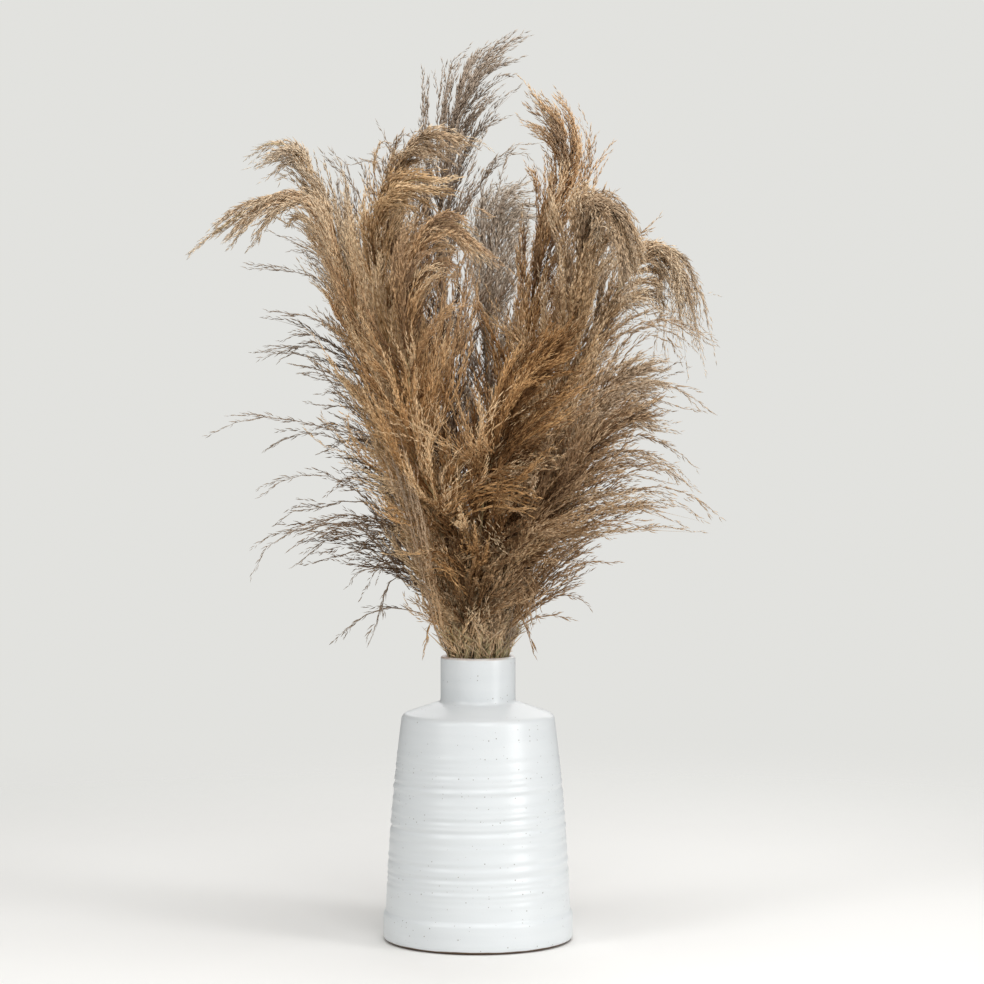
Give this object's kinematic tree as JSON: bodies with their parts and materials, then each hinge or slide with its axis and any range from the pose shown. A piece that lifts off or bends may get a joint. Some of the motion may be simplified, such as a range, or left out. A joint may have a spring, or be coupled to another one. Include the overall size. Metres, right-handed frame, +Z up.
{
  "type": "vase of pampas grass",
  "caption": "Free-standing white stoneware bottle vase with a short neck, holding a loose, tall bunch of dried pampas grass plumes in golden, tan, brown, taupe and grey.",
  "frame": {"origin": "centre of the vase's flat underside, where it stands", "axes": "+Z up along the vase's axis; seen from the front, +X is to the right and +Y is away from the viewer"},
  "size_m": [0.4983, 0.4353, 0.9064],
  "materials": {
    "white_glaze": "satin white glaze with fine grey-brown speckles, throwing rings, bare brown foot line",
    "reed_stem": "dry olive-tan reed, lengthwise streaks",
    "golden_plume": "dry golden straw-coloured grass fibres, matt, paler at the tips",
    "tan_plume": "dry tan grass fibres, matt, bleached at the tips",
    "taupe_plume": "dry taupe-brown grass fibres, matt",
    "brown_plume": "dry warm brown grass fibres, matt",
    "grey_plume": "dry pale grey-beige grass fibres, matt"
  },
  "bodies": {
    "root": {"vase": "white_glaze", "stem_right_droop": "reed_stem", "stem_back_right": "reed_stem", "stem_right_tall": "reed_stem", "stem_back_low": "reed_stem", "stem_centre_back": "reed_stem", "stem_back_left": "reed_stem", "stem_tall_back": "reed_stem", "stem_left_fan": "reed_stem", "stem_left_hook": "reed_stem", "stem_upper_curl": "reed_stem", "stem_left_arch": "reed_stem", "stem_left_curl": "reed_stem", "stem_front_curl": "reed_stem", "stem_front_low": "reed_stem", "stem_right_low": "reed_stem", "stem_right_curl": "reed_stem", "stem_right_fan": "reed_stem", "plume_right_droop": "tan_plume", "plume_back_right": "taupe_plume", "plume_right_tall": "golden_plume", "plume_back_low": "golden_plume", "plume_centre_back": "grey_plume", "plume_back_left": "tan_plume", "plume_tall_back": "taupe_plume", "plume_left_fan": "taupe_plume", "plume_left_hook": "tan_plume", "plume_upper_curl": "tan_plume", "plume_left_arch": "golden_plume", "plume_left_curl": "tan_plume", "plume_front_curl": "golden_plume", "plume_front_low": "golden_plume", "plume_right_low": "brown_plume", "plume_right_curl": "tan_plume", "plume_right_fan": "brown_plume"}
  },
  "joints": []
}
